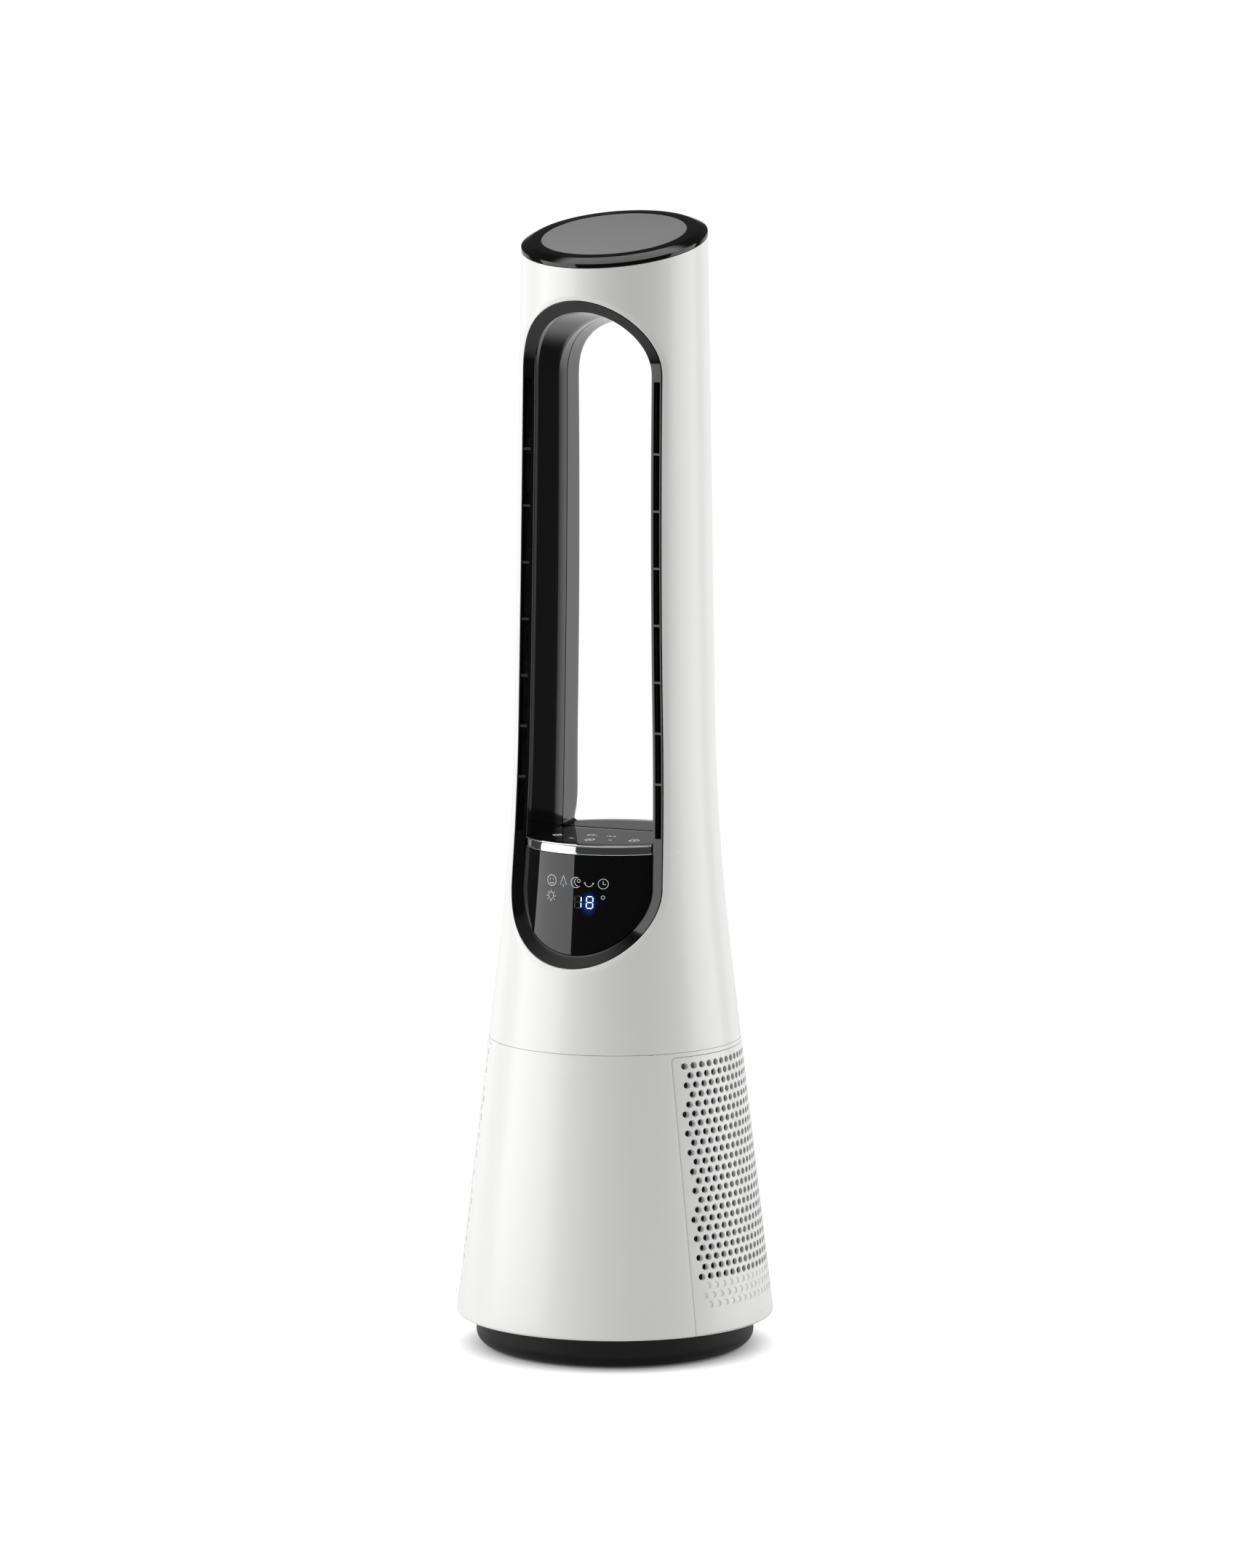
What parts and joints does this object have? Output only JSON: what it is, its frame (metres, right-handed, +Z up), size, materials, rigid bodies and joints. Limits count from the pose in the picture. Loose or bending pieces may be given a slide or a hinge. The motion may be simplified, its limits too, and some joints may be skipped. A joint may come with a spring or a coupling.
{
  "type": "bladeless tower fan",
  "caption": "Tapering tower fan with a tall through-loop, side intake grilles, a shelf with touch glass over a display, and a round base it swings on.",
  "frame": {"origin": "on the floor under the middle of the round base", "axes": "+Z up along the tower, the display and the nozzle face -Y, +X to the right of someone who looks at the front"},
  "size_m": [0.2592, 0.2592, 0.9243],
  "materials": {
    "white_satin": "satin pearl white",
    "black_gloss": "high gloss black",
    "black_satin": "satin black",
    "smoked_glass": "satin dark grey",
    "display_lens": "polished black lens",
    "touch_glass": "polished black glass",
    "chrome": "bright chrome",
    "grey_plastic": "fine matt",
    "pale_plastic": "fine matt",
    "steel": "zinc plated",
    "rubber": "matt",
    "filter_cloth": "pleated non-woven",
    "circuit_board": "solder mask"
  },
  "bodies": {
    "base": {"base_plinth": "black_satin", "foot_pad_1": "rubber", "foot_pad_2": "rubber", "foot_pad_3": "rubber", "foot_pad_4": "rubber", "ballast_plate": "steel", "ballast_screw_1": "steel", "ballast_screw_2": "steel", "ballast_screw_3": "steel", "slide_ring": "pale_plastic", "pivot_post": "grey_plastic", "sun_gear": "pale_plastic", "lock_ring": "grey_plastic", "power_inlet": "black_satin", "inlet_pin_left": "steel", "inlet_pin_right": "steel"},
    "tower": {"turntable": "grey_plastic", "swing_motor": "steel", "power_board": "circuit_board", "lower_casing": "white_satin", "turntable_screw_1": "steel", "turntable_screw_2": "steel", "turntable_screw_3": "steel", "turntable_screw_4": "steel", "filter_frame_left": "grey_plastic", "filter_frame_right": "grey_plastic", "filter_media_left": "filter_cloth", "filter_media_right": "filter_cloth", "mid_frame": "grey_plastic", "damper_ring": "rubber", "fan_housing": "grey_plastic", "stator": "grey_plastic", "fan_motor": "steel", "tail_cone": "grey_plastic", "upper_shell": "white_satin", "shell_screw_1": "steel", "shell_screw_2": "steel", "shell_screw_3": "steel", "shell_screw_4": "steel", "nozzle_ring": "black_gloss", "vent_grille_left": "black_satin", "vent_grille_right": "black_satin", "tunnel_liner": "black_gloss", "rear_bezel": "black_gloss", "chrome_band": "chrome", "touch_glass": "touch_glass", "touch_board": "circuit_board", "shelf_tray": "black_satin", "display_lens": "display_lens", "display_mask": "black_satin", "display_board": "circuit_board", "air_guide": "grey_plastic", "top_cap": "black_gloss", "cap_glass": "smoked_glass"},
    "impeller_unit": {"impeller": "pale_plastic", "impeller_nut": "steel", "motor_shaft": "steel"},
    "pinion": {"drive_pinion": "pale_plastic"},
    "left_cover": {"grille_cover_left": "white_satin"},
    "right_cover": {"grille_cover_right": "white_satin"}
  },
  "joints": [
    {"name": "swing", "type": "hinge", "parent": "base", "child": "tower", "pos_m": [0, 0, 0.03], "axis": [0, 0, 1], "range_deg": [-40, 40]},
    {"name": "pinion_spin", "type": "hinge", "parent": "tower", "child": "pinion", "pos_m": [0, 0.045, 0.02], "axis": [0, 0, 1], "range_deg": [-160, 160]},
    {"name": "impeller_spin", "type": "hinge", "parent": "tower", "child": "impeller_unit", "pos_m": [0, 0, 0.13], "axis": [0, 0, 1], "continuous": true},
    {"name": "left_cover_pull", "type": "slide", "parent": "tower", "child": "left_cover", "axis": [-1, 0, 0], "range_m": [0, 0.06]},
    {"name": "right_cover_pull", "type": "slide", "parent": "tower", "child": "right_cover", "axis": [1, 0, 0], "range_m": [0, 0.06]}
  ],
  "couplings": [
    {"joint": "pinion_spin", "follows": "swing", "ratio": 4}
  ]
}
